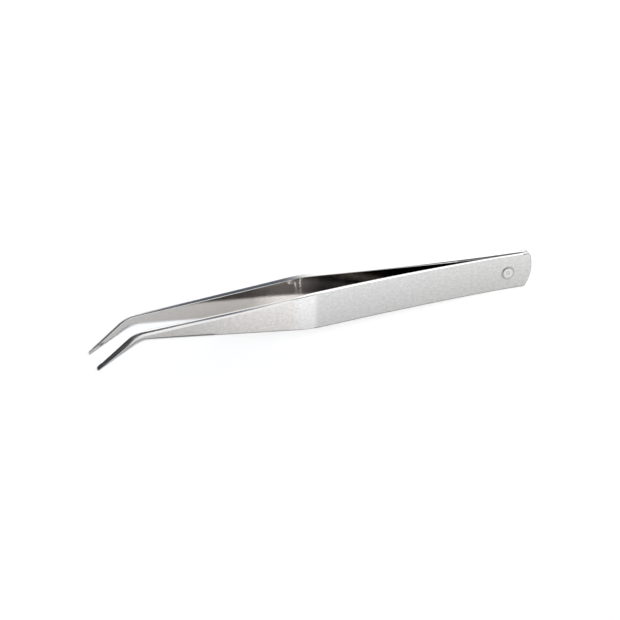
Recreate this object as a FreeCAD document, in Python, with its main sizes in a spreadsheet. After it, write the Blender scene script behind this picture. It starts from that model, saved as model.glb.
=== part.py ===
import FreeCAD, Part
import Sketcher
import math
import os

# Angled tweezers: two mirrored blades of spring steel strip, spot welded to each other at the
# tail. Each blade is bent outwards at its shoulder, tapers from there to a narrow neck, and its
# tip is bent downwards in the plane of the strip.
#
# A blade is drawn from the tip end: X runs from the tip end to the tail end, Y from the welded
# face outwards, Z up across the strip with 0 on its middle line. The finished pair lies on both
# tips and on the lower edge of the tail, with the origin under the middle of its box.

sizes = {
    # The strip seen from above
    "blade_length": 125.3,  # tip end to tail end
    "strip_thickness": 1.5,  # strip from the tail to the shoulder
    "contact_length": 9.4,  # flat tail faces that lie on each other
    "tail_bend_radius": 25,  # inside radius where the arm leaves the contact
    "arm_bow_radius": 720,  # gentle curve of the arm between tail and shoulder
    "shoulder_length": 59.4,  # tip end to the shoulder bend
    "shoulder_half_gap": 4.98,  # joint plane to the inner face at the shoulder
    "shoulder_bend_radius": 76,  # inside radius of the shoulder bend
    "tip_half_gap": 4.05,  # joint plane to the inner face at the tip end
    "tip_thickness": 1.44,  # thickness left at the tip end, ground from outside
    # The outline seen from the side
    "tail_width": 9.88,  # width of the strip at the tail
    "shoulder_width": 10.33,  # width of the strip at the shoulder
    "tail_end_radius": 7.2,  # rounded end of the tail
    "tail_corner_radius": 1,  # corners of the rounded end
    "shoulder_corner_radius": 40,  # corners of the outline where the taper starts
    "bend_top_length": 10.6,  # tip end to the bend of the upper edge
    "bend_top_height": 1.13,  # bend of the upper edge above the middle line
    "bend_top_radius": 8.3,  # rounding of that bend
    "bend_under_length": 11.4,  # tip end to the bend of the lower edge
    "bend_under_depth": 0.66,  # bend of the lower edge below the middle line
    "bend_under_radius": 6.9,  # rounding of that bend
    "tip_drop": 7.54,  # upper corner of the tip end below the middle line
    "tip_height": 0.7,  # height of the tip end
    "tip_end_radius": 0.25,  # rounding of its two corners
    # Broken edges and the bevels ground on the outer faces of the front arms
    "broken_edge": 0.1,  # chamfer along the edges of both faces
    "bevel_shoulder_height": 0.9,  # height of the bevel on the face, at the shoulder
    "bevel_shoulder_depth": 0.2,  # depth of the bevel into the edge, at the shoulder
    "bevel_top_height": 1,  # height of the upper bevel at the bend
    "bevel_under_height": 0.35,  # height of the lower bevel at the bend
    "bevel_bend_depth": 0.5,  # depth of both bevels at the bend
    "bevel_tip_height": 0.16,  # height of both bevels at the tip end
    "bevel_tip_depth": 0.4,  # depth of both bevels at the tip end
    # The spot weld mark pressed into the outer face of the tail
    "weld_from_tail": 7.1,  # tail end to the middle of the mark
    "weld_ring_radius": 1.83,  # middle line of the ring
    "weld_ring_width": 0.5,  # width of the ring
    "weld_ring_depth": 0.12,  # depth of the ring
    "weld_dimple_radius": 0.55,  # dimple in the middle
    "weld_dimple_depth": 0.08,  # depth of the dimple
    "cut_margin": 0.3,  # how far a cutting shape stands clear of the strip
}

document = FreeCAD.newDocument("angled_tweezers")
sheet = document.addObject("Spreadsheet::Sheet", "Sizes")
for row, (name, millimetres) in enumerate(sizes.items(), start=1):
    sheet.set(f"A{row}", name)
    sheet.set(f"B{row}", str(millimetres))
    sheet.setAlias(f"B{row}", name)
document.recompute()

# A point of a sketch is the number of its line or arc, and then 1 for its start, 2 for its end or
# 3 for its centre. The sketch's own axes have the numbers -1 and -2.
ORIGIN = (-1, 1)


def cell(name):
    return float(sheet.get(name))


def start_of(line):
    return (line, 1)


def end_of(line):
    return (line, 2)


def centre_of(arc):
    return (arc, 3)


def start_sketch(body, name, role, turn=None):
    """Starts a sketch on one of the body's origin planes, turned over for the mirrored blade."""
    sketch = body.newObject("Sketcher::SketchObject", name)
    plane = [feature for feature in body.Origin.OriginFeatures if feature.Role == role][0]
    sketch.AttachmentSupport = [(plane, "")]
    sketch.MapMode = "FlatFace"
    if turn:
        sketch.AttachmentOffset = FreeCAD.Placement(FreeCAD.Vector(), turn)
    return sketch


def draw_line(sketch, start, end):
    return sketch.addGeometry(Part.LineSegment(FreeCAD.Vector(*start, 0), FreeCAD.Vector(*end, 0)))


def draw_arc(sketch, centre, start, end):
    """Draws the arc that runs counterclockwise from start to end."""
    middle = FreeCAD.Vector(*centre, 0)
    first = FreeCAD.Vector(*start, 0) - middle
    last = FreeCAD.Vector(*end, 0) - middle
    circle = Part.Circle(middle, FreeCAD.Vector(0, 0, 1), first.Length)
    first_angle = math.atan2(first.y, first.x)
    last_angle = math.atan2(last.y, last.x)
    return sketch.addGeometry(Part.ArcOfCircle(circle, first_angle, last_angle))


def join(sketch, *points):
    """Makes each pair of neighbouring points in the list coincide, two at a time."""
    for first, second in zip(points[::2], points[1::2]):
        sketch.addConstraint(Sketcher.Constraint("Coincident", *first, *second))


def draw_polygon(sketch, corners):
    """Draws a closed polygon and returns its corners as sketch points, in the same order."""
    lines = [draw_line(sketch, corner, corners[(index + 1) % len(corners)])
             for index, corner in enumerate(corners)]
    for index, line in enumerate(lines):
        join(sketch, end_of(line), start_of(lines[(index + 1) % len(lines)]))
    return [start_of(line) for line in lines]


def put_on_x_axis(sketch, point):
    sketch.addConstraint(Sketcher.Constraint("PointOnObject", *point, -1))


def put_on_y_axis(sketch, point):
    sketch.addConstraint(Sketcher.Constraint("PointOnObject", *point, -2))


def across(sketch, left, right, expression):
    """Dimensions the distance between two sketch points along the sketch's X."""
    drawn = (sketch.getPoint(*right) - sketch.getPoint(*left)).x
    index = sketch.addConstraint(Sketcher.Constraint("DistanceX", *left, *right, drawn))
    sketch.setExpression(f"Constraints[{index}]", expression)


def upward(sketch, lower, upper, expression):
    """Dimensions the distance between two sketch points along the sketch's Y."""
    drawn = (sketch.getPoint(*upper) - sketch.getPoint(*lower)).y
    index = sketch.addConstraint(Sketcher.Constraint("DistanceY", *lower, *upper, drawn))
    sketch.setExpression(f"Constraints[{index}]", expression)


def radius(sketch, arc, drawn, expression):
    index = sketch.addConstraint(Sketcher.Constraint("Radius", arc, drawn))
    sketch.setExpression(f"Constraints[{index}]", expression)


def meets(coordinate, wanted):
    """Tells whether a coordinate is the wanted one, if any, to a hundredth of a millimetre."""
    return wanted is None or round(coordinate - wanted, 2) == 0


def edges_at(shape, x, y=None, z=None):
    """Names the edges that cross the strip at this X and Y, or at this X and Z."""
    names = []
    for number, edge in enumerate(shape.Edges, start=1):
        points = [vertex.Point for vertex in edge.Vertexes]
        if all(meets(point.x, x) and meets(point.y, y) and meets(point.z, z) for point in points):
            names.append(f"Edge{number}")
    return names


def round_edges(body, name, names, expression):
    base = body.Tip
    fillet = body.newObject("PartDesign::Fillet", name)
    fillet.Base = (base, names)
    fillet.setExpression("Radius", expression)
    document.recompute()


# Corners of the strip seen from above, before the shoulder is rounded
tip_inside = (0, cell("tip_half_gap"))
tip_outside = (0, cell("tip_half_gap") + cell("tip_thickness"))
shoulder_inside = (cell("shoulder_length"), cell("shoulder_half_gap"))
contact_start = (cell("blade_length") - cell("contact_length"), 0)
contact_outside = (contact_start[0], cell("strip_thickness"))
stock_end = cell("blade_length") + cell("cut_margin")

# The arm bows about a far centre, and a small bend carries it into the flat tail. The bow's
# centre lies one bow radius from the shoulder, and that much less the bend from the bend's centre.
bow_radius = cell("arm_bow_radius")
bend_radius = cell("tail_bend_radius") + cell("strip_thickness")
bend_centre = FreeCAD.Vector(contact_start[0], bend_radius, 0)
shoulder_point = FreeCAD.Vector(*shoulder_inside, 0)
span = bend_centre - shoulder_point
along = (bow_radius**2 - (bow_radius - bend_radius) ** 2 + span.Length**2) / (2 * span.Length)
aside = math.sqrt(bow_radius**2 - along**2)
span.normalize()
bow_centre = shoulder_point + span * along + FreeCAD.Vector(-span.y, span.x, 0) * aside
outer_bow_radius = bow_radius - cell("strip_thickness")
bow_to_bend = (bend_centre - bow_centre).normalize()
bow_end_inside = bow_centre + bow_to_bend * bow_radius
bow_end_outside = bow_centre + bow_to_bend * outer_bow_radius
shoulder_reach = bow_centre.x - shoulder_inside[0]
shoulder_drop = math.sqrt(outer_bow_radius**2 - shoulder_reach**2)
shoulder_outside = (shoulder_inside[0], bow_centre.y - shoulder_drop)


def flat(vector):
    return (vector.x, vector.y)


def bend_strip(body, side):
    """Pads the bent strip, wider than the blade, and rounds its shoulder bend."""
    turn = FreeCAD.Rotation(FreeCAD.Vector(1, 0, 0), 0 if side > 0 else 180)
    sketch = start_sketch(body, "strip_from_above", "XY_Plane", turn)
    stock_inside = (stock_end, 0)
    stock_outside = (stock_end, contact_outside[1])
    inner_front = draw_line(sketch, tip_inside, shoulder_inside)
    inner_bow = draw_arc(sketch, flat(bow_centre), shoulder_inside, flat(bow_end_inside))
    inner_bend = draw_arc(sketch, flat(bend_centre), flat(bow_end_inside), contact_start)
    inner_tail = draw_line(sketch, contact_start, stock_inside)
    tail_edge = draw_line(sketch, stock_inside, stock_outside)
    outer_tail = draw_line(sketch, stock_outside, contact_outside)
    outer_bend = draw_arc(sketch, flat(bend_centre), flat(bow_end_outside), contact_outside)
    outer_bow = draw_arc(sketch, flat(bow_centre), shoulder_outside, flat(bow_end_outside))
    outer_front = draw_line(sketch, shoulder_outside, tip_outside)
    tip_edge = draw_line(sketch, tip_outside, tip_inside)
    join(sketch, end_of(inner_front), start_of(inner_bow))
    join(sketch, end_of(inner_tail), start_of(tail_edge), end_of(tail_edge), start_of(outer_tail))
    join(sketch, start_of(outer_bow), start_of(outer_front), end_of(outer_front), start_of(tip_edge))
    join(sketch, end_of(tip_edge), start_of(inner_front))
    join(sketch, centre_of(inner_bow), centre_of(outer_bow), centre_of(inner_bend), centre_of(outer_bend))
    for first, second in (
        (end_of(inner_bow), start_of(inner_bend)),
        (end_of(inner_bend), start_of(inner_tail)),
        (end_of(outer_tail), end_of(outer_bend)),
        (start_of(outer_bend), end_of(outer_bow)),
    ):
        sketch.addConstraint(Sketcher.Constraint("Tangent", *first, *second))
    put_on_y_axis(sketch, start_of(inner_front))
    put_on_x_axis(sketch, start_of(inner_tail))
    sketch.addConstraint(Sketcher.Constraint("Horizontal", inner_tail))
    sketch.addConstraint(Sketcher.Constraint("Horizontal", outer_tail))
    sketch.addConstraint(Sketcher.Constraint("Vertical", tail_edge))
    sketch.addConstraint(Sketcher.Constraint("Vertical", tip_edge))
    shoulder_line = (*start_of(inner_bow), *start_of(outer_bow))
    sketch.addConstraint(Sketcher.Constraint("Vertical", *shoulder_line))
    across(sketch, ORIGIN, start_of(inner_bow), "Sizes.shoulder_length")
    upward(sketch, ORIGIN, start_of(inner_bow), "Sizes.shoulder_half_gap")
    upward(sketch, ORIGIN, start_of(inner_front), "Sizes.tip_half_gap")
    upward(sketch, end_of(tip_edge), start_of(tip_edge), "Sizes.tip_thickness")
    across(sketch, ORIGIN, start_of(tail_edge), "Sizes.blade_length + Sizes.cut_margin")
    across(sketch, ORIGIN, start_of(inner_tail), "Sizes.blade_length - Sizes.contact_length")
    upward(sketch, start_of(tail_edge), end_of(tail_edge), "Sizes.strip_thickness")
    radius(sketch, inner_bow, bow_radius, "Sizes.arm_bow_radius")
    radius(sketch, outer_bend, cell("tail_bend_radius"), "Sizes.tail_bend_radius")

    strip = body.newObject("PartDesign::Pad", "strip")
    strip.Profile = sketch
    strip.SideType = "Symmetric"
    strip.setExpression("Length", "2 * (Sizes.tip_drop + Sizes.tip_height + Sizes.cut_margin)")
    document.recompute()

    inside = "Sizes.shoulder_bend_radius"
    names = edges_at(strip.Shape, shoulder_inside[0], y=side * shoulder_inside[1])
    round_edges(body, "shoulder_bend_inside", names, inside)
    names = edges_at(body.Shape, shoulder_outside[0], y=side * shoulder_outside[1])
    round_edges(body, "shoulder_bend_outside", names, f"{inside} + Sizes.strip_thickness")


def round_corner(sketch, line, drawn, expression):
    """Rounds the corner at the end of a line and returns the point where the corner was."""
    sketch.fillet(*end_of(line), drawn, True, True)
    arc = sketch.GeometryCount - 2
    radius(sketch, arc, drawn, expression)
    return start_of(arc + 1)


def cut_outline(body):
    """Blanks the strip to the outline that the blade has from the side."""
    sketch = start_sketch(body, "outline_from_the_side", "XZ_Plane")
    half_tail = cell("tail_width") / 2
    half_shoulder = cell("shoulder_width") / 2
    end_centre = cell("blade_length") - cell("tail_end_radius")
    tail_corner = end_centre + math.sqrt(cell("tail_end_radius") ** 2 - half_tail**2)
    tail_top = (tail_corner, half_tail)
    tail_under = (tail_corner, -half_tail)
    shoulder_top = (cell("shoulder_length"), half_shoulder)
    shoulder_under = (cell("shoulder_length"), -half_shoulder)
    bend_top = (cell("bend_top_length"), cell("bend_top_height"))
    bend_under = (cell("bend_under_length"), -cell("bend_under_depth"))
    tip_top = (0, -cell("tip_drop"))
    tip_under = (0, -cell("tip_drop") - cell("tip_height"))

    end_arc = draw_arc(sketch, (end_centre, 0), tail_under, tail_top)
    corners = [tail_top, shoulder_top, bend_top, tip_top, tip_under, bend_under, shoulder_under, tail_under]
    edges = [draw_line(sketch, first, second) for first, second in zip(corners, corners[1:])]
    rear_top, front_top, slant_top, tip_end, slant_under, front_under, rear_under = edges
    join(sketch, end_of(end_arc), start_of(rear_top), end_of(rear_under), start_of(end_arc))
    for first, second in zip(edges, edges[1:]):
        join(sketch, end_of(first), start_of(second))
    shoulder_radius = cell("shoulder_corner_radius")
    top = round_corner(sketch, rear_top, shoulder_radius, "Sizes.shoulder_corner_radius")
    under = round_corner(sketch, front_under, shoulder_radius, "Sizes.shoulder_corner_radius")
    neck_top = round_corner(sketch, front_top, cell("bend_top_radius"), "Sizes.bend_top_radius")
    neck_under = round_corner(sketch, slant_under, cell("bend_under_radius"), "Sizes.bend_under_radius")
    end_top = round_corner(sketch, slant_top, cell("tip_end_radius"), "Sizes.tip_end_radius")
    end_under = round_corner(sketch, tip_end, cell("tip_end_radius"), "Sizes.tip_end_radius")

    put_on_x_axis(sketch, centre_of(end_arc))
    across(sketch, ORIGIN, centre_of(end_arc), "Sizes.blade_length - Sizes.tail_end_radius")
    radius(sketch, end_arc, cell("tail_end_radius"), "Sizes.tail_end_radius")
    upward(sketch, ORIGIN, start_of(rear_top), "Sizes.tail_width / 2")
    upward(sketch, end_of(rear_under), ORIGIN, "Sizes.tail_width / 2")
    sketch.addConstraint(Sketcher.Constraint("Symmetric", *top, *under, -1))
    across(sketch, ORIGIN, top, "Sizes.shoulder_length")
    upward(sketch, under, top, "Sizes.shoulder_width")
    across(sketch, ORIGIN, neck_top, "Sizes.bend_top_length")
    upward(sketch, ORIGIN, neck_top, "Sizes.bend_top_height")
    across(sketch, ORIGIN, neck_under, "Sizes.bend_under_length")
    upward(sketch, neck_under, ORIGIN, "Sizes.bend_under_depth")
    put_on_y_axis(sketch, start_of(tip_end))
    sketch.addConstraint(Sketcher.Constraint("Vertical", tip_end))
    upward(sketch, end_top, ORIGIN, "Sizes.tip_drop")
    upward(sketch, end_under, end_top, "Sizes.tip_height")

    reach = cell("tip_drop") + cell("tip_height") + 2 * cell("cut_margin")
    left = -cell("cut_margin")
    right = cell("blade_length") + 2 * cell("cut_margin")
    frame = draw_polygon(sketch, [(left, -reach), (right, -reach), (right, reach), (left, reach)])
    low_left, low_right, high_left = frame[0], frame[1], frame[3]
    for line, kind in zip(frame, ("Horizontal", "Vertical", "Horizontal", "Vertical")):
        sketch.addConstraint(Sketcher.Constraint(kind, line[0]))
    height = "Sizes.tip_drop + Sizes.tip_height + 2 * Sizes.cut_margin"
    across(sketch, low_left, ORIGIN, "Sizes.cut_margin")
    across(sketch, ORIGIN, low_right, "Sizes.blade_length + 2 * Sizes.cut_margin")
    upward(sketch, low_left, ORIGIN, height)
    upward(sketch, ORIGIN, high_left, height)

    blank = body.newObject("PartDesign::Pocket", "blank_outline")
    blank.Profile = sketch
    blank.SideType = "Symmetric"
    blank.Type = "ThroughAll"
    document.recompute()

    for name, corner in (("tail_corner_top", tail_top), ("tail_corner_under", tail_under)):
        names = edges_at(body.Shape, corner[0], z=corner[1])
        round_edges(body, name, names, "Sizes.tail_corner_radius")


def break_edges(body):
    """Chamfers the edges all the way round the inner and the outer face."""
    names = [f"Edge{number}" for number, edge in enumerate(body.Shape.Edges, start=1)
             if not meets(edge.BoundBox.XLength, 0)]
    base = body.Tip
    chamfer = body.newObject("PartDesign::Chamfer", "broken_edges")
    chamfer.Base = (base, names)
    chamfer.setExpression("Size", "Sizes.broken_edge")
    document.recompute()


def press_weld_mark(body, side):
    """Presses the ring and the dimple of the spot weld into the outer face of the tail."""
    turn = FreeCAD.Rotation(FreeCAD.Vector(1, 0, 0), 0 if side > 0 else 180)
    sketch = start_sketch(body, "weld_mark_section", "XY_Plane", turn)
    middle = cell("blade_length") - cell("weld_from_tail")
    face = cell("strip_thickness")
    above = face + cell("cut_margin")
    ring_inside = middle + cell("weld_ring_radius") - cell("weld_ring_width") / 2
    ring_outside = ring_inside + cell("weld_ring_width")
    ring_floor = face - cell("weld_ring_depth")
    dimple_floor = face - cell("weld_dimple_depth")
    dimple_edge = middle + cell("weld_dimple_radius")

    axis = draw_line(sketch, (middle, 0), (middle, above))
    sketch.toggleConstruction(axis)
    ring = draw_polygon(sketch, [
        (ring_inside, ring_floor), (ring_outside, ring_floor), (ring_outside, above), (ring_inside, above),
    ])
    for line, kind in zip(ring, ("Horizontal", "Vertical", "Horizontal", "Vertical")):
        sketch.addConstraint(Sketcher.Constraint(kind, line[0]))
    dimple = draw_polygon(sketch, [
        (middle, dimple_floor), (dimple_edge, face), (dimple_edge, above), (middle, above),
    ])
    for line, kind in zip(dimple[1:], ("Vertical", "Horizontal", "Vertical")):
        sketch.addConstraint(Sketcher.Constraint(kind, line[0]))
    sketch.addConstraint(Sketcher.Constraint("Vertical", axis))
    put_on_x_axis(sketch, start_of(axis))
    join(sketch, end_of(axis), dimple[3])
    across(sketch, ORIGIN, start_of(axis), "Sizes.blade_length - Sizes.weld_from_tail")
    upward(sketch, ORIGIN, end_of(axis), "Sizes.strip_thickness + Sizes.cut_margin")
    upward(sketch, ORIGIN, dimple[0], "Sizes.strip_thickness - Sizes.weld_dimple_depth")
    across(sketch, dimple[0], dimple[1], "Sizes.weld_dimple_radius")
    upward(sketch, ORIGIN, dimple[1], "Sizes.strip_thickness")
    upward(sketch, ORIGIN, ring[0], "Sizes.strip_thickness - Sizes.weld_ring_depth")
    upward(sketch, ORIGIN, ring[2], "Sizes.strip_thickness + Sizes.cut_margin")
    across(sketch, start_of(axis), ring[0], "Sizes.weld_ring_radius - Sizes.weld_ring_width / 2")
    across(sketch, ring[0], ring[1], "Sizes.weld_ring_width")

    mark = body.newObject("PartDesign::Groove", "weld_mark")
    mark.Profile = sketch
    mark.ReferenceAxis = (sketch, ["Axis0"])
    mark.Angle = 360
    document.recompute()


def draw_wedge(body, side, name, upper, station, outer, edge, height, depth):
    """Draws the bevel's wedge across the arm: its slanted side crosses the outer face one height
    from the edge of the blade, and the edge one depth from the outer face."""
    turn = FreeCAD.Rotation(FreeCAD.Vector(0, 1, 0), 0 if side > 0 else 180)
    sketch = start_sketch(body, name, "YZ_Plane", turn)
    sketch.setExpression("AttachmentOffset.Base.z", station)
    corners = [(1, 1), (1, 0), (0, 1)] if upper else [(1, 0), (1, 1), (0, 0)]
    corner, face_foot, edge_foot = draw_polygon(sketch, corners)
    sketch.addConstraint(Sketcher.Constraint("Vertical", corner[0]))
    sketch.addConstraint(Sketcher.Constraint("Horizontal", edge_foot[0]))
    margin = "Sizes.cut_margin"
    fall = f"({height}) * (1 + {margin} / ({depth})) + {margin}"
    across(sketch, ORIGIN, corner, f"{outer} + {margin}")
    across(sketch, edge_foot, corner, f"({depth}) * (1 + {margin} / ({height})) + {margin}")
    if upper:
        upward(sketch, ORIGIN, corner, f"{edge} + {margin}")
        upward(sketch, face_foot, corner, fall)
    else:
        upward(sketch, ORIGIN, corner, f"{edge} - {margin}")
        upward(sketch, corner, face_foot, fall)
    return sketch


def grind_bevels(body, side):
    """Cuts the bevels along both outer edges of the front arm, from the shoulder to the tip."""
    shoulder_outer = "Sizes.shoulder_half_gap + Sizes.strip_thickness"
    tip_outer = "Sizes.tip_half_gap + Sizes.tip_thickness"
    shoulder_bevel = ("Sizes.bevel_shoulder_height", "Sizes.bevel_shoulder_depth")
    tip_bevel = ("Sizes.bevel_tip_height", "Sizes.bevel_tip_depth")
    for name, bend, bend_edge, tip_edge in (
        ("top", "Sizes.bend_top_length", "Sizes.bend_top_height", "-Sizes.tip_drop"),
        ("under", "Sizes.bend_under_length", "-Sizes.bend_under_depth", "-Sizes.tip_drop - Sizes.tip_height"),
    ):
        upper = name == "top"
        share = f"{bend} / Sizes.shoulder_length"
        bend_outer = f"({tip_outer}) * (1 - {share}) + ({shoulder_outer}) * {share}"
        bend_bevel = (f"Sizes.bevel_{name}_height", "Sizes.bevel_bend_depth")
        half_width = "Sizes.shoulder_width / 2" if upper else "-Sizes.shoulder_width / 2"
        stations = [
            ("shoulder", "Sizes.shoulder_length", shoulder_outer, half_width, *shoulder_bevel),
            ("bend", bend, bend_outer, bend_edge, *bend_bevel),
            ("tip", "0", tip_outer, tip_edge, *tip_bevel),
        ]
        wedges = [draw_wedge(body, side, f"bevel_{name}_at_{place}", upper, *rest)
                  for place, *rest in stations]
        bevel = body.newObject("PartDesign::SubtractiveLoft", f"bevel_{name}")
        bevel.Profile = wedges[0]
        bevel.Sections = wedges[1:]
        bevel.Ruled = True
        document.recompute()


def make_blade(label, side):
    """Makes one blade, closed to the joint plane: side 1 opens towards +Y, side -1 towards -Y."""
    body = document.addObject("PartDesign::Body", label)
    body.Label = label
    bend_strip(body, side)
    cut_outline(body)
    break_edges(body)
    press_weld_mark(body, side)
    grind_bevels(body, side)
    return body


blades = [make_blade("right_blade", 1), make_blade("left_blade", -1)]

# The pair lies on the lower corners of its tips and on the lower edge of its tail. It leans about
# Y by the flattest slope from the tip's lowest corner to a corner behind the shoulder.
corners = [vertex.Point for vertex in blades[0].Shape.Vertexes]
tip_foot = min(corners, key=lambda point: point.z)
tail_corners = [point for point in corners if point.x > cell("shoulder_length")]
lean = min(math.atan2(point.z - tip_foot.z, point.x - tip_foot.x) for point in tail_corners)
leaning = FreeCAD.Rotation(FreeCAD.Vector(0, 1, 0), math.degrees(lean))
for blade in blades:
    blade.Placement = FreeCAD.Placement(FreeCAD.Vector(), leaning)
box = blades[0].Shape.optimalBoundingBox(True, False)
for blade in blades:
    middle = (box.XMin + box.XMax) / 2
    blade.Placement = FreeCAD.Placement(FreeCAD.Vector(-middle, 0, -box.ZMin), leaning)
document.recompute()

for item in document.Objects:
    if "Invalid" in item.State or "Error" in item.State:
        raise RuntimeError(f"{item.Label} did not compute: {item.State}")
for blade in blades:
    steps = [step for step in blade.Group if step.isDerivedFrom("PartDesign::Feature")]
    for before, after in zip(steps, steps[1:]):
        if math.isclose(before.Shape.Volume, after.Shape.Volume):
            raise RuntimeError(f"{after.Label} changed nothing on {blade.Label}")
    if blade.Shape.isNull() or not blade.Shape.isValid() or len(blade.Shape.Solids) != 1:
        raise RuntimeError(f"{blade.Label} is not one valid solid")

os.makedirs("parts", exist_ok=True)
for blade in blades:
    blade.Shape.exportStep(f"parts/{blade.Label}.step")
    print(blade.Label, "volume", round(blade.Shape.Volume, 2), "faces", len(blade.Shape.Faces))
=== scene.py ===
import bmesh
import bpy
import math
from mathutils import Matrix, Vector


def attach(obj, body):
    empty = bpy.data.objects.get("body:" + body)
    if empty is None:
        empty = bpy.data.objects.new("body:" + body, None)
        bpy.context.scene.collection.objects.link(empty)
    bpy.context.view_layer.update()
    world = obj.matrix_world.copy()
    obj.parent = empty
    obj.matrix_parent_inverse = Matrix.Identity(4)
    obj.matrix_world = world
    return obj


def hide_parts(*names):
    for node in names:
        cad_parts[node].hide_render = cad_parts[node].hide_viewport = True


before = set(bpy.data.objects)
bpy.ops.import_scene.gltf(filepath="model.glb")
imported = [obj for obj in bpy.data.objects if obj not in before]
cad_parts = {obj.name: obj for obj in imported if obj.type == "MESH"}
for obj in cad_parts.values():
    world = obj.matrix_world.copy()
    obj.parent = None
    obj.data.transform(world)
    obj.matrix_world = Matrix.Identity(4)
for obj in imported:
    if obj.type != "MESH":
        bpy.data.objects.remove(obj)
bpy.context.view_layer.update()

# Camera. A long lens looks down on the tweezers from the front, a little from the tips' side, as
# in the photograph. Its horizon is level with the blades' own middle line.
camera_azimuth = math.radians(-17.95)
camera_elevation = math.radians(28.04)
camera_roll = math.radians(-1.537)
camera_distance = 0.70137
camera_target = Vector((-0.001761, 0, 0.003823))
camera_lens = 149.98

towards_camera = Vector((
    math.sin(camera_azimuth) * math.cos(camera_elevation),
    -math.cos(camera_azimuth) * math.cos(camera_elevation),
    math.sin(camera_elevation),
))
upright = towards_camera.to_track_quat("Z", "Y").to_matrix()
bpy.ops.object.camera_add(location=camera_target + camera_distance * towards_camera)
camera = bpy.context.object
camera.name = "camera"
camera.rotation_euler = (upright @ Matrix.Rotation(camera_roll, 3, "Z")).to_euler()
camera.data.lens = camera_lens
bpy.context.scene.camera = camera

# Surface. The tweezers lie on a plain white sheet, far larger than the view, which keeps their
# soft shadow.
sheet_size = 4
sheet_white = (0.95, 0.95, 0.95, 1)
sheet_roughness = 0.9

bpy.ops.mesh.primitive_plane_add(size=sheet_size, location=(0, 0, 0))
sheet = bpy.context.object
sheet.name = "white_sheet"
paper = bpy.data.materials.new("white_paper")
paper.use_nodes = True
paper_shader = paper.node_tree.nodes["Principled BSDF"]
paper_shader.inputs["Base Color"].default_value = sheet_white
paper_shader.inputs["Roughness"].default_value = sheet_roughness
paper_shader.inputs["Specular IOR Level"].default_value = 0
sheet.data.materials.append(paper)

# Light. The room is bright on the right, in front of the tweezers and behind them, and dark on
# the left and overhead, so the upward edges shine and the gap between the arms stays dark. One
# far lamp in front lights the sheet and throws the shadow back behind the arms.
room_right = (1.5, 1.5, 1.5, 1)
room_right_low = (0.85, 0.85, 0.85, 1)
room_left = (0.05, 0.05, 0.05, 1)
room_above = (0.075, 0.09, 0.115, 1)
# Where each part begins and where it is full, on scales from -1 to 1 to the right and upwards
right_between = (-0.5, 0.1)
walls_between = (0.1, 0.35)
overhead_between = (0.5, 0.72)
lamp_azimuth = math.radians(-108)
lamp_elevation = math.radians(28.5)
lamp_angle = math.radians(4)
lamp_strength = 5

room = bpy.data.worlds.new("room")
bpy.context.scene.world = room
room.use_nodes = True
room_nodes = room.node_tree.nodes
room_links = room.node_tree.links
# How far a direction points to the right, as a share of its length along the floor
direction = room_nodes.new("ShaderNodeTexCoord")
axes = room_nodes.new("ShaderNodeSeparateXYZ")
level = room_nodes.new("ShaderNodeCombineXYZ")
level_length = room_nodes.new("ShaderNodeVectorMath")
level_length.operation = "LENGTH"
rightness = room_nodes.new("ShaderNodeMath")
rightness.operation = "DIVIDE"
room_links.new(direction.outputs["Generated"], axes.inputs["Vector"])
room_links.new(axes.outputs["X"], level.inputs["X"])
room_links.new(axes.outputs["Y"], level.inputs["Y"])
room_links.new(level.outputs["Vector"], level_length.inputs[0])
room_links.new(axes.outputs["X"], rightness.inputs[0])
room_links.new(level_length.outputs["Value"], rightness.inputs[1])


def room_step(value, low, high):
    """A smooth step from 0 to 1 between two values."""
    step = room_nodes.new("ShaderNodeMapRange")
    step.interpolation_type = "SMOOTHSTEP"
    step.inputs["From Min"].default_value = low
    step.inputs["From Max"].default_value = high
    room_links.new(value, step.inputs["Value"])
    return step.outputs["Result"]


def room_mix(share, first, second):
    """Mixes two colours. A mix node takes them at its sockets 6 and 7 and gives them at 2."""
    mix = room_nodes.new("ShaderNodeMix")
    mix.data_type = "RGBA"
    room_links.new(share, mix.inputs["Factor"])
    for socket, colour in ((mix.inputs[6], first), (mix.inputs[7], second)):
        if isinstance(colour, tuple):
            socket.default_value = colour
        else:
            room_links.new(colour, socket)
    return mix.outputs[2]


on_the_right = room_step(rightness.outputs["Value"], *right_between)
above_the_floor = room_step(axes.outputs["Z"], *walls_between)
overhead = room_step(axes.outputs["Z"], *overhead_between)
right_side = room_mix(above_the_floor, room_right_low, room_right)
around = room_mix(on_the_right, room_left, right_side)
everywhere = room_mix(overhead, around, room_above)
room_links.new(everywhere, room_nodes["Background"].inputs["Color"])

lamp_direction = Vector((
    math.cos(lamp_azimuth) * math.cos(lamp_elevation),
    math.sin(lamp_azimuth) * math.cos(lamp_elevation),
    math.sin(lamp_elevation),
))
bpy.ops.object.light_add(type="SUN", location=lamp_direction)
lamp = bpy.context.object
lamp.name = "front_lamp"
lamp.rotation_euler = lamp_direction.to_track_quat("Z", "Y").to_euler()
lamp.data.angle = lamp_angle
lamp.data.energy = lamp_strength
lamp.visible_glossy = False

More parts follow.
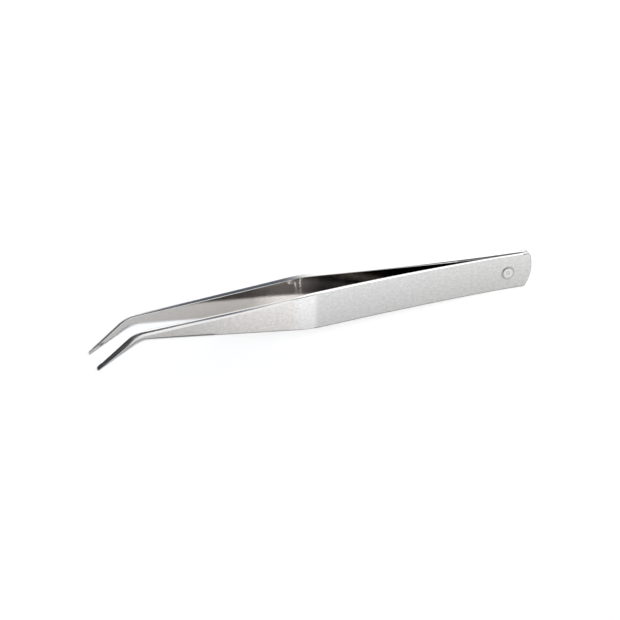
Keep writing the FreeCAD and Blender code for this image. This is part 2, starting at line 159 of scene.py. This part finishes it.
# Right blade, the far one. It is one strip of stainless spring steel, blanked to its outline,
# bent out at the shoulder and ground to a bevel along the outer edges of its front arm. It is
# modelled in millimetres from the tip end, then scaled, leaned and set down as the pair lies.
blade_length = 125.3
strip_thickness = 1.5
contact_length = 9.4
tail_bend_radius = 25
arm_bow_radius = 720
shoulder_length = 59.4
shoulder_half_gap = 4.98
shoulder_bend_radius = 76
tip_half_gap = 4.05
tip_thickness = 1.44
tail_width = 9.88
shoulder_width = 10.33
tail_end_radius = 11.6
tail_end_above_middle = 1.4
tail_corner_radius = 1
shoulder_corner_radius = 40
bend_top = Vector((10.6, 1.13))
bend_top_radius = 8.3
bend_under = Vector((11.4, -0.66))
bend_under_radius = 6.9
tip_top = -7.54
tip_under = -8.24
blank_width = 10
lean = math.radians(1.4315)
tip_end_place = Vector((-62.534, 0, 8.027))
to_metres = 0.001

# The arm bows about a far centre and turns into the flat tail about a near one
contact_start = blade_length - contact_length
bend_centre = Vector((contact_start, tail_bend_radius + strip_thickness))
shoulder_inside = Vector((shoulder_length, shoulder_half_gap))
to_bend = bend_centre - shoulder_inside
reach = arm_bow_radius - bend_centre.y
along = (arm_bow_radius**2 - reach**2 + to_bend.length_squared) / (2 * to_bend.length)
aside = math.sqrt(arm_bow_radius**2 - along**2)
to_bend.normalize()
bow_centre = shoulder_inside + along * to_bend + aside * Vector((-to_bend.y, to_bend.x))
bow_to_bend = (bend_centre - bow_centre).normalized()
tail_centre = Vector((blade_length - tail_end_radius, tail_end_above_middle))


def rounded(x, corner, before, after, radius):
    """Height at x of two straight lines that meet in a corner of this radius. before and after
    are their slopes, as angles."""
    side = 1 if after > before else -1
    leg = radius * math.tan(abs(after - before) / 2)
    first = corner - leg * Vector((math.cos(before), math.sin(before)))
    last = corner + leg * Vector((math.cos(after), math.sin(after)))
    if x <= first.x:
        return corner.y + (x - corner.x) * math.tan(before)
    if x >= last.x:
        return corner.y + (x - corner.x) * math.tan(after)
    centre = first + side * radius * Vector((-math.sin(before), math.cos(before)))
    return centre.y - side * math.sqrt(radius**2 - (x - centre.x) ** 2)


def face_of_strip(x, depth, tip_y):
    """Distance of a face from the joint plane, seen from above. depth is 0 for the inner face
    and the thickness for the outer one."""
    bow = arm_bow_radius - depth
    if x >= contact_start:
        return depth
    if x >= bow_centre.x + bow * bow_to_bend.x:
        return bend_centre.y - math.sqrt((bend_centre.y - depth) ** 2 - (x - contact_start) ** 2)
    corner_y = bow_centre.y - math.sqrt(bow**2 - (shoulder_length - bow_centre.x) ** 2)
    before = math.atan2(corner_y - tip_y, shoulder_length)
    after = math.asin((shoulder_length - bow_centre.x) / bow)
    y = rounded(x, Vector((shoulder_length, corner_y)), before, after, shoulder_bend_radius + depth)
    if x > shoulder_length:
        straight = corner_y + (x - shoulder_length) * math.tan(after)
        y += bow_centre.y - math.sqrt(bow**2 - (x - bow_centre.x) ** 2) - straight
    return y


def edge_of_strip(x, upper):
    """Height of the upper or the lower edge above the middle line, seen from the side."""
    side = 1 if upper else -1
    bend = bend_top if upper else bend_under
    bend_radius = bend_top_radius if upper else bend_under_radius
    tip = Vector((0, tip_top if upper else tip_under))
    shoulder = Vector((shoulder_length, side * shoulder_width / 2))
    rise = side * tail_width / 2 - tail_centre.y
    tail = tail_centre + Vector((math.sqrt(tail_end_radius**2 - rise**2), rise))
    slant = math.atan2(bend.y - tip.y, bend.x)
    front = math.atan2(shoulder.y - bend.y, shoulder.x - bend.x)
    rear = math.atan2(tail.y - shoulder.y, tail.x - shoulder.x)
    if x < (bend.x + shoulder.x) / 2:
        return rounded(x, bend, slant, front, bend_radius)
    if x < (shoulder.x + tail.x) / 2:
        return rounded(x, shoulder, front, rear, shoulder_corner_radius)
    end = -side * math.atan2(tail.x - tail_centre.x, abs(rise))
    z = rounded(x, tail, rear, end, tail_corner_radius)
    if x > tail.x:
        arc = tail_centre.y + side * math.sqrt(tail_end_radius**2 - (x - tail_centre.x) ** 2)
        z += arc - (tail.y + (x - tail.x) * math.tan(end))
    return z


def slope_of_edge(x, upper):
    """Slope of the upper or the lower edge at x, as an angle."""
    step = 0.001
    return math.atan2(edge_of_strip(x, upper) - edge_of_strip(x - step, upper), step)


def between(x, rows):
    """Values at x, taken in proportion from rows of x and its values."""
    for (low, *before), (high, *after) in zip(rows, rows[1:]):
        if x <= high:
            share = max(0, (x - low) / (high - low))
            return [first + share * (last - first) for first, last in zip(before, after)]
    return rows[-1][1:]


# Height and depth of the bevels along the outer edges. They are widest on the front arm. Behind
# the shoulder only a broken edge is left above and a narrow bevel below, and the tail's end is
# broken all round.
top_bevel = [(0, 0.16, 0.4), (10.6, 1, 0.5), (50, 0.92, 0.27), (61.5, 0.06, 0.06)]
top_bevel += [(123.9, 0.06, 0.06), (124.6, 0.3, 0.3)]
under_bevel = [(0, 0.16, 0.4), (11.4, 0.45, 0.45), (20, 0.6, 0.4), (50, 0.65, 0.25)]
under_bevel += [(63, 0.3, 0.25), (124.4, 0.3, 0.3)]
# The belt leaves the bevels slightly domed: where their crest lies, as shares of height and depth
crest_shares = [(0, 0.85, 0.3), (7, 0.8, 0.25), (12, 0.42, 0.3), (26, 0.42, 0.33), (33, 0.44, 0.1)]
crest_shares += [(43, 0.44, 0.06), (52, 0.42, 0.15)]
# Fall of the top edge towards the inside, or towards the outside where it is below 0
top_fall = [(0, -0.14), (9, -0.12), (12, 0), (20, 0.12), (27, 0.14), (33, 0.2), (54, 0.22)]
top_fall += [(66, 0.04), (100, 0)]
# Roundings of the edges along the strip. The two tails are rounded most towards each other, where
# they leave a groove above their joint. The foot and the crest are those of the bevels.
joint_from = 100
joint_rounding = 0.62
inner_top_rounding = [(0, 0.12), (8, 0.3), (50, 0.3), (58, 0.05), (94, 0.05)]
inner_top_rounding += [(joint_from, joint_rounding), (121, joint_rounding), (122.6, 0.2)]
inner_top_rounding += [(123.2, 0.15), (125, 0.15)]
foot_rounding = [(0, 0.04), (8, 0.14), (45, 0.08), (61, 0.02), (122, 0.02), (122.1, 0)]
inner_under_rounding = 0.15
crest_rounding = [(0, 0.02), (8, 0.08), (45, 0.06), (59, 0.01), (59.1, 0)]
end_rounding = 0.1
tip_top_rounding = 0.12
tip_under_rounding = 0.45


def spread(first, last, count):
    """Values at even steps, with both ends among them."""
    return [first + (last - first) * number / (count - 1) for number in range(count)]


# Where the strip is cut across, so that it can bend: closely at its bends, and at the tail's end
# by turns about the centre of its arc
stations = spread(1.3, 7.8, 6) + spread(8.2, 13.8, 17) + spread(16, 52, 10) + spread(54, 64.8, 14)
stations += spread(68, 112, 12) + spread(114.5, contact_start, 5) + spread(118, 121.8, 3)
stations += spread(122.6, 123.9, 9) + spread(124, 125, 18)
tail_turns = [math.radians(turn) for turn in (11, 9, 7, 5, 3)]
tail_cuts = [tail_centre.x + tail_end_radius * math.cos(turn) for turn in tail_turns]
stations += tail_cuts[:-1]
blade_end = tail_cuts[-1]

bpy.ops.object.select_all(action="DESELECT")
bpy.ops.mesh.primitive_cube_add(size=1, location=(blade_length / 2, strip_thickness / 2, 0))
blade = bpy.context.object
blade.name = "right_blade_finished"
blade.scale = (blade_length, strip_thickness, blank_width)
bpy.ops.object.transform_apply(location=True, rotation=True, scale=True)
bpy.ops.object.mode_set(mode="EDIT")


def near(first, second):
    """Whether two measures are the same to within a hair."""
    hair = 0.01
    return abs(first - second) < hair


def select_edges(piece, wanted):
    """Selects the edges for whose two ends wanted() is true, and nothing else."""
    bpy.ops.mesh.select_mode(type="EDGE")
    drawn = bmesh.from_edit_mesh(piece.data)
    for part in (*drawn.verts, *drawn.edges, *drawn.faces):
        part.select = False
    for edge in drawn.edges:
        edge.select = wanted(*(vertex.co for vertex in edge.verts))
    drawn.select_flush_mode()
    bmesh.update_edit_mesh(piece.data)


def select_points(piece, wanted):
    """Selects the points for which wanted() is true, and nothing else."""
    bpy.ops.mesh.select_mode(type="VERT")
    drawn = bmesh.from_edit_mesh(piece.data)
    for part in (*drawn.verts, *drawn.edges, *drawn.faces):
        part.select = False
    for vertex in drawn.verts:
        vertex.select = wanted(vertex)
    drawn.select_flush_mode()
    bmesh.update_edit_mesh(piece.data)


def lengthwise(a, b):
    """Whether an edge with these ends runs along the bar."""
    return near(a.y, b.y) and near(a.z, b.z)


# The outer edges of the bar are chamfered, and it is cut across at every station
chamfer = 0.1
foot = strip_thickness - chamfer
crest = strip_thickness - chamfer * (1 - math.cos(math.radians(45)))
select_edges(blade, lambda a, b: lengthwise(a, b) and near(a.y, strip_thickness))
bpy.ops.mesh.bevel(offset=chamfer, segments=2, affect="EDGES")
for station in stations:
    bpy.ops.mesh.select_all(action="SELECT")
    bpy.ops.mesh.bisect(plane_co=(station, 0, 0), plane_no=(1, 0, 0))
select_points(blade, lambda point: near(point.co.x, blade_length) and near(point.co.y, foot))
bpy.ops.mesh.vert_connect()


def give_rounding(radius, wanted):
    """Gives edges of the straight bar the rounding that they get when the strip is shaped, as a
    share of the widest one."""
    select_edges(blade, wanted)
    bpy.ops.transform.edge_bevelweight(value=radius / joint_rounding)


def at_end(a, b, end):
    """Whether an edge with these ends lies at one end of the bar."""
    return near(a.x, end) and near(b.x, end)


give_rounding(inner_under_rounding, lambda a, b: lengthwise(a, b) and near(a.y, 0) and a.z < 0)
long_edges = (
    (inner_top_rounding, 0, True), (foot_rounding, foot, False), (crest_rounding, crest, False),
)
for start, end in zip(stations, [*stations[1:], blade_length]):
    for rows, depth, only_upper in long_edges:
        radius = between((start + end) / 2, rows)[0]
        if radius > 0:
            give_rounding(radius, lambda a, b: (
                lengthwise(a, b) and near(a.y, depth) and near(min(a.x, b.x), start)
                and (a.z > 0 or not only_upper)
            ))
give_rounding(tip_top_rounding, lambda a, b: at_end(a, b, 0) and a.z > 0 and b.z > 0)
give_rounding(tip_under_rounding, lambda a, b: at_end(a, b, 0) and a.z < 0 and b.z < 0)
give_rounding(
    end_rounding,
    lambda a, b: at_end(a, b, blade_length) and near(a.y, b.y) and (near(a.y, 0) or near(a.y, foot)),
)

# Every corner of every section is moved to its place on the bent and blanked strip
drawn = bmesh.from_edit_mesh(blade.data)
corners = [vertex.co.copy() for vertex in drawn.verts]
for number, corner in enumerate(corners):
    x = corner.x
    upper = corner.z > 0
    if near(x, blade_length):
        x = blade_end
    place = Vector((x, 0, edge_of_strip(x, upper)))
    if near(corner.y, 0):
        place.y = face_of_strip(x, 0, tip_half_gap)
        if upper:
            place.z -= max(between(x, top_fall)[0], 0)
    else:
        if upper:
            place.z += min(between(x, top_fall)[0], 0)
        height, depth = between(x, top_bevel if upper else under_bevel)
        place.y = face_of_strip(x, strip_thickness, tip_half_gap + tip_thickness)
        if near(corner.y, foot):
            height = 0
        elif near(corner.y, strip_thickness):
            depth = 0
        else:
            height_share, depth_share = between(x, crest_shares)
            height *= height_share
            depth *= depth_share
        slope = slope_of_edge(x, upper)
        across = Vector((-math.sin(slope), 0, math.cos(slope)))
        place -= height * across if upper else -height * across
        place.y -= depth
    select_points(blade, lambda point: point.index == number)
    bpy.ops.transform.translate(value=place - corner)
bpy.ops.object.mode_set(mode="OBJECT")
rounding = blade.modifiers.new("rounding", "BEVEL")
rounding.limit_method = "WEIGHT"
rounding.offset_type = "OFFSET"
rounding.width = joint_rounding
rounding.segments = 4
rounding.use_clamp_overlap = False
bpy.ops.object.modifier_apply(modifier=rounding.name)

# Weld mark. The spot weld that joins the tails leaves a shallow ring with a dimple in its middle,
# each pressed into the outer face by its own round tool.
weld_from_tail = 7.1
ring_radius = 1.7
ring_width = 0.55
ring_depth = 0.17
dimple_radius = 0.55
dimple_depth = 0.12
# The tool stood a little askew, so the ring is deeper towards the tips and upwards
ring_askew = Vector((-0.055, 1, 0.045))


def ball_radius(half_width, depth):
    """Radius of the ball or wire that leaves a mark this wide when it sinks in this deep."""
    return (half_width**2 + depth**2) / (2 * depth)


weld_x = blade_length - weld_from_tail
facing = (math.radians(90), 0, 0)
wire = ball_radius(ring_width / 2, ring_depth)
ring_place = (weld_x, strip_thickness - ring_depth + wire, 0)
ring_turn = ring_askew.to_track_quat("Z", "Y").to_euler()
bpy.ops.mesh.primitive_torus_add(
    location=ring_place, rotation=ring_turn, major_radius=ring_radius, minor_radius=wire,
    major_segments=96, minor_segments=24,
)
ring_tool = bpy.context.object
ball = ball_radius(dimple_radius, dimple_depth)
ball_place = (weld_x, strip_thickness - dimple_depth + ball, 0)
bpy.ops.mesh.primitive_uv_sphere_add(
    location=ball_place, rotation=facing, radius=ball, segments=64, ring_count=96,
)
ball_tool = bpy.context.object
bpy.context.view_layer.objects.active = blade
for tool in (ring_tool, ball_tool):
    press = blade.modifiers.new("press", "BOOLEAN")
    press.operation = "DIFFERENCE"
    press.solver = "EXACT"
    press.object = tool
    bpy.ops.object.modifier_apply(modifier=press.name)
    bpy.data.objects.remove(tool)

# Finish. Every point knows how far it lies along the strip and across it, so that the brushing
# follows the arm and turns down with the tip.
along_strip = blade.data.uv_layers.new(name="along_the_strip")
tip_slant = math.atan2(bend_top.y - tip_top, bend_top.x)
for loop in blade.data.loops:
    point = blade.data.vertices[loop.vertex_index].co
    x = min(max(point.x, 0), contact_start)
    middle = (edge_of_strip(x, True) + edge_of_strip(x, False)) / 2
    travelled = point.x
    if point.x < bend_top.x:
        travelled = bend_top.x - (bend_top.x - point.x) / math.cos(tip_slant)
    depth = point.y - face_of_strip(x, 0, tip_half_gap)
    along_strip.data[loop.index].uv = (travelled, point.z - middle + depth)

satin_roughness = 0.34
inner_roughness = 0.09
edge_roughness = 0.2
under_roughness = 0.4
mark_roughness = 0.3
# Colours along the strip, from the tip end. The front arm is darker and warmer than the stock, its
# darkness a painted shade, and the pressed shoulder is the lightest, a painted highlight.
satin_colours_and_painted_light = [
    (0, (0.51, 0.5, 0.49)), (20, (0.51, 0.495, 0.485)), (26, (0.53, 0.515, 0.505)),
    (34, (0.61, 0.59, 0.575)), (42, (0.67, 0.645, 0.63)), (53, (0.73, 0.71, 0.69)),
    (56.5, (0.81, 0.8, 0.795)), (60, (0.81, 0.8, 0.795)), (61.2, (0.63, 0.625, 0.62)),
    (125, (0.62, 0.615, 0.6)),
]
# The inner face is lightest at the shoulder bend, a painted reflection, and darkest towards the tail,
# a painted shade in the narrow gap between the arms.
inner_colours_and_painted_light = [
    (0, (0.52, 0.51, 0.5)), (20, (0.5, 0.48, 0.465)), (40, (0.48, 0.455, 0.435)),
    (46, (0.5, 0.475, 0.45)), (54, (0.9, 0.84, 0.8)), (60, (0.9, 0.84, 0.8)), (66, (0.42, 0.4, 0.38)),
    (125, (0.38, 0.36, 0.345)),
]
edge_colour = (0.8, 0.79, 0.78, 1)
# The underside and the lower bevels are coloured nearly black: painted shade beneath the blade.
under_painted_shade_colour = (0.17, 0.165, 0.16, 1)
# From here the tail's end is outlined in the joint's colour, a painted shade.
tail_painted_outline_from = 123.2
# The weld ring's groove is darker, a painted shade in the recess.
groove_painted_shade_colour = (0.45, 0.445, 0.43, 1)
# The disc inside the weld ring is lighter, a painted highlight.
pressed_painted_highlight_colour = (0.69, 0.69, 0.68, 1)
# The tail's end and the groove between the tails are darker: painted shade in the crease between the
# parts.
joint_painted_shade_colour = (0.38, 0.375, 0.37, 1)
# Painted shade and light: the share of the colour at the lower edge and at the upper one, darker
# below and lighter above. Also how far along the strip the grain may shift the colours.
painted_shade_under = 0.86
painted_light_above = 1.12
colour_shift = 4
grain_depth = 0.00002

# Brushed grain: fine lines along the strip over a soft mottle, as a shade about 1 and a height
grain = bpy.data.node_groups.new("brushed_grain", "ShaderNodeTree")
grain.interface.new_socket("Strip", in_out="INPUT", socket_type="NodeSocketVector")
for name in ("Lines", "Mottle"):
    grain.interface.new_socket(name, in_out="INPUT", socket_type="NodeSocketFloat")
for name in ("Shade", "Height"):
    grain.interface.new_socket(name, in_out="OUTPUT", socket_type="NodeSocketFloat")
grain_in = grain.nodes.new("NodeGroupInput")
grain_out = grain.nodes.new("NodeGroupOutput")
# How far each noise is drawn out along and across the strip, as its scales, and its detail
long_lines = ((0.25, 4), 3)
short_lines = ((0.8, 14), 3)
broad_mottle = ((0.9, 1.4), 2)
fine_mottle = ((2.8, 3.8), 1)


def grain_noise(scales, detail):
    """Noise about 0, with its own scale along the strip and across it."""
    mapping = grain.nodes.new("ShaderNodeMapping")
    mapping.inputs["Scale"].default_value = (*scales, 1)
    noise = grain.nodes.new("ShaderNodeTexNoise")
    noise.noise_dimensions = "2D"
    noise.inputs["Scale"].default_value = 1
    noise.inputs["Detail"].default_value = detail
    centred = grain.nodes.new("ShaderNodeMath")
    centred.operation = "SUBTRACT"
    centred.inputs[1].default_value = 0.5
    grain.links.new(grain_in.outputs["Strip"], mapping.inputs["Vector"])
    grain.links.new(mapping.outputs["Vector"], noise.inputs["Vector"])
    grain.links.new(noise.outputs["Fac"], centred.inputs[0])
    return centred.outputs["Value"]


def calculate(group, operation, first, second):
    """A calculation in a node group, with numbers or other nodes' outputs."""
    node = group.nodes.new("ShaderNodeMath")
    node.operation = operation
    for socket, value in zip(node.inputs, (first, second)):
        if isinstance(value, (int, float)):
            socket.default_value = value
        else:
            group.links.new(value, socket)
    return node.outputs["Value"]


lines = calculate(grain, "ADD", grain_noise(*long_lines), grain_noise(*short_lines))
mottle = calculate(grain, "ADD", grain_noise(*broad_mottle), grain_noise(*fine_mottle))
drawn_lines = calculate(grain, "MULTIPLY", lines, grain_in.outputs["Lines"])
drawn_mottle = calculate(grain, "MULTIPLY", mottle, grain_in.outputs["Mottle"])
unevenness = calculate(grain, "ADD", drawn_lines, drawn_mottle)
grain.links.new(calculate(grain, "ADD", unevenness, 1), grain_out.inputs["Shade"])
grain.links.new(calculate(grain, "ADD", lines, 0.5), grain_out.inputs["Height"])

# Press marks: where the shoulder was pressed, the tool left dull streaks across the inner face.
# Each is given as its ends along the strip, its ends across it and its strength.
marks = bpy.data.node_groups.new("press_marks", "ShaderNodeTree")
marks.interface.new_socket("Strip", in_out="INPUT", socket_type="NodeSocketVector")
marks.interface.new_socket("Mask", in_out="OUTPUT", socket_type="NodeSocketFloat")
marks_in = marks.nodes.new("NodeGroupInput")
marks_out = marks.nodes.new("NodeGroupOutput")
streaks = [
    (58.1, 58.5, 2.4, 4.1, 0.8), (58.35, 58.75, 1, 2.7, 0.35), (59.45, 59.9, 2.3, 5.2, 1),
    (59.6, 60, 0.8, 2.6, 0.35), (56.2, 57.4, 3.6, 4.6, 0.8), (58, 60.3, -0.3, 1.6, 0.12),
]
streak_fade = 0.3
streak_waver = 0.9
streak_roughness = 0.35
streak_dullness = -0.24
# The streaks are broken into patches, which keep at least a share of their strength
patch_scale = 1.6
patch_detail = 3
patch_contrast = 4
patch_drop = 1.2
patch_least = 0.3


def inside_streak(value, low, high):
    """1 between two values, falling to 0 on both sides."""
    steps = []
    for outer, inward in ((low, streak_fade), (high, -streak_fade)):
        step = marks.nodes.new("ShaderNodeMapRange")
        step.interpolation_type = "SMOOTHSTEP"
        step.inputs["From Min"].default_value = outer - inward / 2
        step.inputs["From Max"].default_value = outer + inward / 2
        marks.links.new(value, step.inputs["Value"])
        steps.append(step.outputs["Result"])
    return calculate(marks, "MULTIPLY", *steps)


marks_place = marks.nodes.new("ShaderNodeSeparateXYZ")
marks_noise = marks.nodes.new("ShaderNodeTexNoise")
marks_noise.noise_dimensions = "2D"
marks_noise.inputs["Scale"].default_value = patch_scale
marks_noise.inputs["Detail"].default_value = patch_detail
marks.links.new(marks_in.outputs["Strip"], marks_place.inputs["Vector"])
marks.links.new(marks_in.outputs["Strip"], marks_noise.inputs["Vector"])
centred = calculate(marks, "SUBTRACT", marks_noise.outputs["Fac"], 0.5)
waver = calculate(marks, "MULTIPLY", centred, streak_waver)
wavering = calculate(marks, "ADD", marks_place.outputs["X"], waver)
mask = 0
for start, end, low, high, strength in streaks:
    along_it = inside_streak(wavering, start, end)
    across_it = inside_streak(marks_place.outputs["Y"], low, high)
    streak = calculate(marks, "MULTIPLY", along_it, across_it)
    mask = calculate(marks, "MAXIMUM", mask, calculate(marks, "MULTIPLY", streak, strength))
patches = calculate(marks, "MULTIPLY", marks_noise.outputs["Fac"], patch_contrast)
patches = calculate(marks, "SUBTRACT", patches, patch_drop)
patches = calculate(marks, "MAXIMUM", patches, patch_least)
patches = calculate(marks, "MINIMUM", patches, 1)
marks.links.new(calculate(marks, "MULTIPLY", mask, patches), marks_out.inputs["Mask"])


def steel(name, roughness, lines, mottle, relief, colour=(1, 1, 1, 1)):
    """A steel finish with brushed grain, of one colour until it is coloured along the strip."""
    material = bpy.data.materials.new(name)
    material.use_nodes = True
    nodes = material.node_tree.nodes
    links = material.node_tree.links
    shader = nodes["Principled BSDF"]
    shader.inputs["Metallic"].default_value = 1
    strip = nodes.new("ShaderNodeUVMap")
    strip.name = "strip"
    strip.uv_map = "along_the_strip"
    brushed = nodes.new("ShaderNodeGroup")
    brushed.name = "brushed"
    brushed.node_tree = grain
    brushed.inputs["Lines"].default_value = lines
    brushed.inputs["Mottle"].default_value = mottle
    shaded = nodes.new("ShaderNodeMix")
    shaded.name = "shaded"
    shaded.data_type = "RGBA"
    shaded.blend_type = "MULTIPLY"
    shaded.inputs[0].default_value = 1
    shaded.inputs[6].default_value = colour
    rough = nodes.new("ShaderNodeMath")
    rough.operation = "MULTIPLY"
    rough.inputs[1].default_value = roughness
    bump = nodes.new("ShaderNodeBump")
    bump.inputs["Strength"].default_value = relief
    bump.inputs["Distance"].default_value = grain_depth
    links.new(strip.outputs["UV"], brushed.inputs["Strip"])
    links.new(brushed.outputs["Shade"], shaded.inputs[7])
    links.new(shaded.outputs[2], shader.inputs["Base Color"])
    links.new(brushed.outputs["Shade"], rough.inputs[0])
    links.new(rough.outputs["Value"], shader.inputs["Roughness"])
    links.new(brushed.outputs["Height"], bump.inputs["Height"])
    links.new(bump.outputs["Normal"], shader.inputs["Normal"])
    return material


def colour_along(material, colours):
    """Colours a finish along the strip, and paints shade on it: darker at the lower edge, lighter at
    the upper one. The grain makes the steps between the colours uneven."""
    nodes = material.node_tree.nodes
    links = material.node_tree.links
    brushed = nodes["brushed"]
    place = nodes.new("ShaderNodeSeparateXYZ")
    links.new(nodes["strip"].outputs["UV"], place.inputs["Vector"])
    uneven = nodes.new("ShaderNodeMath")
    uneven.operation = "MULTIPLY_ADD"
    uneven.inputs[1].default_value = colour_shift
    links.new(brushed.outputs["Shade"], uneven.inputs[0])
    links.new(place.outputs["X"], uneven.inputs[2])
    share = nodes.new("ShaderNodeMapRange")
    share.inputs["From Min"].default_value = colour_shift
    share.inputs["From Max"].default_value = colour_shift + blade_length
    links.new(uneven.outputs["Value"], share.inputs["Value"])
    ramp = nodes.new("ShaderNodeValToRGB")
    for position, colour in colours[1:-1]:
        ramp.color_ramp.elements.new(position / blade_length).color = (*colour, 1)
    ramp.color_ramp.elements[0].color = (*colours[0][1], 1)
    ramp.color_ramp.elements[-1].color = (*colours[-1][1], 1)
    links.new(share.outputs["Result"], ramp.inputs["Fac"])
    # Painted shade and light: the colour is darker towards the lower edge and lighter towards the
    # upper one.
    height = nodes.new("ShaderNodeMapRange")
    height.inputs["From Min"].default_value = strip_thickness - shoulder_width / 2
    height.inputs["From Max"].default_value = strip_thickness + shoulder_width / 2
    height.inputs["To Min"].default_value = painted_shade_under
    height.inputs["To Max"].default_value = painted_light_above
    links.new(place.outputs["Y"], height.inputs["Value"])
    painted_shading = nodes.new("ShaderNodeVectorMath")
    painted_shading.operation = "SCALE"
    links.new(ramp.outputs["Color"], painted_shading.inputs[0])
    links.new(height.outputs["Result"], painted_shading.inputs["Scale"])
    links.new(painted_shading.outputs["Vector"], nodes["shaded"].inputs[6])


satin = steel("satin_face_painted_light", satin_roughness, lines=0.12, mottle=0.3, relief=0.15)
colour_along(satin, satin_colours_and_painted_light)
inner = steel("inner_face_painted_light", inner_roughness, lines=0.15, mottle=0.15, relief=0.1)
colour_along(inner, inner_colours_and_painted_light)
edge = steel("ground_edge", edge_roughness, lines=0.1, mottle=0.05, relief=0.05, colour=edge_colour)
under = steel("under_edge_painted_shade", under_roughness, lines=0.1, mottle=0.15, relief=0.05, colour=under_painted_shade_colour)
groove, pressed, joint = (
    steel(name, mark_roughness, lines=0.04, mottle=0.1, relief=0.05, colour=colour)
    for name, colour in (
        ("weld_groove_painted_shade", groove_painted_shade_colour), ("weld_disc_painted_highlight", pressed_painted_highlight_colour), ("joint_edge_painted_shade", joint_painted_shade_colour),
    )
)

# The inner face is rougher in the press marks, and less of a mirror
inner_nodes = inner.node_tree.nodes
inner_links = inner.node_tree.links
inner_shader = inner_nodes["Principled BSDF"]
polished = inner_shader.inputs["Roughness"].links[0].from_socket
streaked = inner_nodes.new("ShaderNodeGroup")
streaked.node_tree = marks
inner_links.new(inner_nodes["strip"].outputs["UV"], streaked.inputs["Strip"])
dull = inner_nodes.new("ShaderNodeMath")
dull.inputs[1].default_value = streak_roughness
inner_links.new(polished, dull.inputs[2])
scuffed = inner_nodes.new("ShaderNodeMath")
scuffed.inputs[1].default_value = streak_dullness
scuffed.inputs[2].default_value = 1
for changed, socket in ((dull, "Roughness"), (scuffed, "Metallic")):
    changed.operation = "MULTIPLY_ADD"
    changed.use_clamp = True
    inner_links.new(streaked.outputs["Mask"], changed.inputs[0])
    inner_links.new(changed.outputs["Value"], inner_shader.inputs[socket])

# How much of its normal lies along an axis decides which side of the strip a face belongs to
sideways = 0.985
pressed_flat = 0.9995
backwards = 0.2
downwards = 0.2
downwards_outside = 0.05
into_joint = 0.1
# Reach of the weld mark's parts from its centre. The dimple's rim takes the groove's painted shade.
rim_from = 0.6 * dimple_radius
rim_to = dimple_radius + 0.02
groove_to = ring_radius + ring_width / 2 + 0.1


def finish_of(face):
    """The finish of a face, by where it lies and which way it is turned."""
    turned = face.normal
    x = min(face.center.x, blade_end)
    middle_y = face_of_strip(min(x, contact_start), strip_thickness / 2, tip_half_gap)
    outside = face.center.y > middle_y
    below_top = (edge_of_strip(x, True) - face.center.z) * math.cos(slope_of_edge(x, True))
    corners = [blade.data.vertices[number].co for number in face.vertices]
    from_weld = [math.hypot(corner.x - weld_x, corner.z) for corner in corners]
    furthest = max(from_weld)
    flat = turned.y > pressed_flat
    in_rim = furthest < rim_to and min(from_weld) > rim_from
    # The disc inside the weld ring takes a painted highlight.
    if outside and furthest < ring_radius and not in_rim and (flat or furthest < dimple_radius):
        return pressed
    # The ring's groove and the dimple's rim take painted shade.
    if outside and furthest < groove_to and not flat:
        return groove
    below_bevel = x > shoulder_length or below_top > between(x, top_bevel)[0]
    if outside and turned.y > sideways and below_bevel:
        return satin
    if turned.y < -sideways:
        return inner
    # The tail's end and the groove above the joint take painted shade.
    if x > tail_painted_outline_from and turned.x > backwards:
        return joint
    # Faces turned downwards take the near-black painted shade beneath the blade.
    if turned.z < -downwards or outside and turned.z < -downwards_outside:
        return under
    if x > joint_from and face.center.y < joint_rounding and turned.y < -into_joint:
        return joint
    return edge


finishes = (satin, inner, edge, under, groove, pressed, joint)
for finish in finishes:
    blade.data.materials.append(finish)
for face in blade.data.polygons:
    face.material_index = finishes.index(finish_of(face))

bpy.ops.object.select_all(action="DESELECT")
blade.select_set(True)
bpy.context.view_layer.objects.active = blade
blade.scale = (to_metres, to_metres, to_metres)
blade.rotation_euler = (0, lean, 0)
blade.location = to_metres * tip_end_place
bpy.ops.object.transform_apply(location=True, rotation=True, scale=True)

# Left blade, the near one. It is the same strip of stainless spring steel, bent and ground to the
# other hand and spot-welded to the right one at the tail, so its mesh is the right one's mirror
# image.
same_point = 0.000001

bpy.ops.object.duplicate(linked=False)
other_blade = bpy.context.object
other_blade.name = "left_blade_finished"
other_blade.scale = (1, -1, 1)
bpy.ops.object.transform_apply(location=True, rotation=True, scale=True)
bpy.ops.object.mode_set(mode="EDIT")
bpy.ops.mesh.select_all(action="SELECT")
bpy.ops.mesh.remove_doubles(threshold=same_point)
bpy.ops.mesh.normals_make_consistent(inside=False)
bpy.ops.object.mode_set(mode="OBJECT")

# Both blades are shaded smoothly, but for their sharp edges
sharp_from = math.radians(35)
for piece, node in ((blade, "right_blade"), (other_blade, "left_blade")):
    bpy.ops.object.select_all(action="DESELECT")
    piece.select_set(True)
    bpy.context.view_layer.objects.active = piece
    bpy.ops.object.shade_smooth_by_angle(angle=sharp_from, keep_sharp_edges=True)
    even = piece.modifiers.new("even", "WEIGHTED_NORMAL")
    even.keep_sharp = True
    bpy.ops.object.modifier_apply(modifier=even.name)
    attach(piece, "root")
    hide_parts(node)

bpy.context.scene.view_settings.view_transform = "Standard"
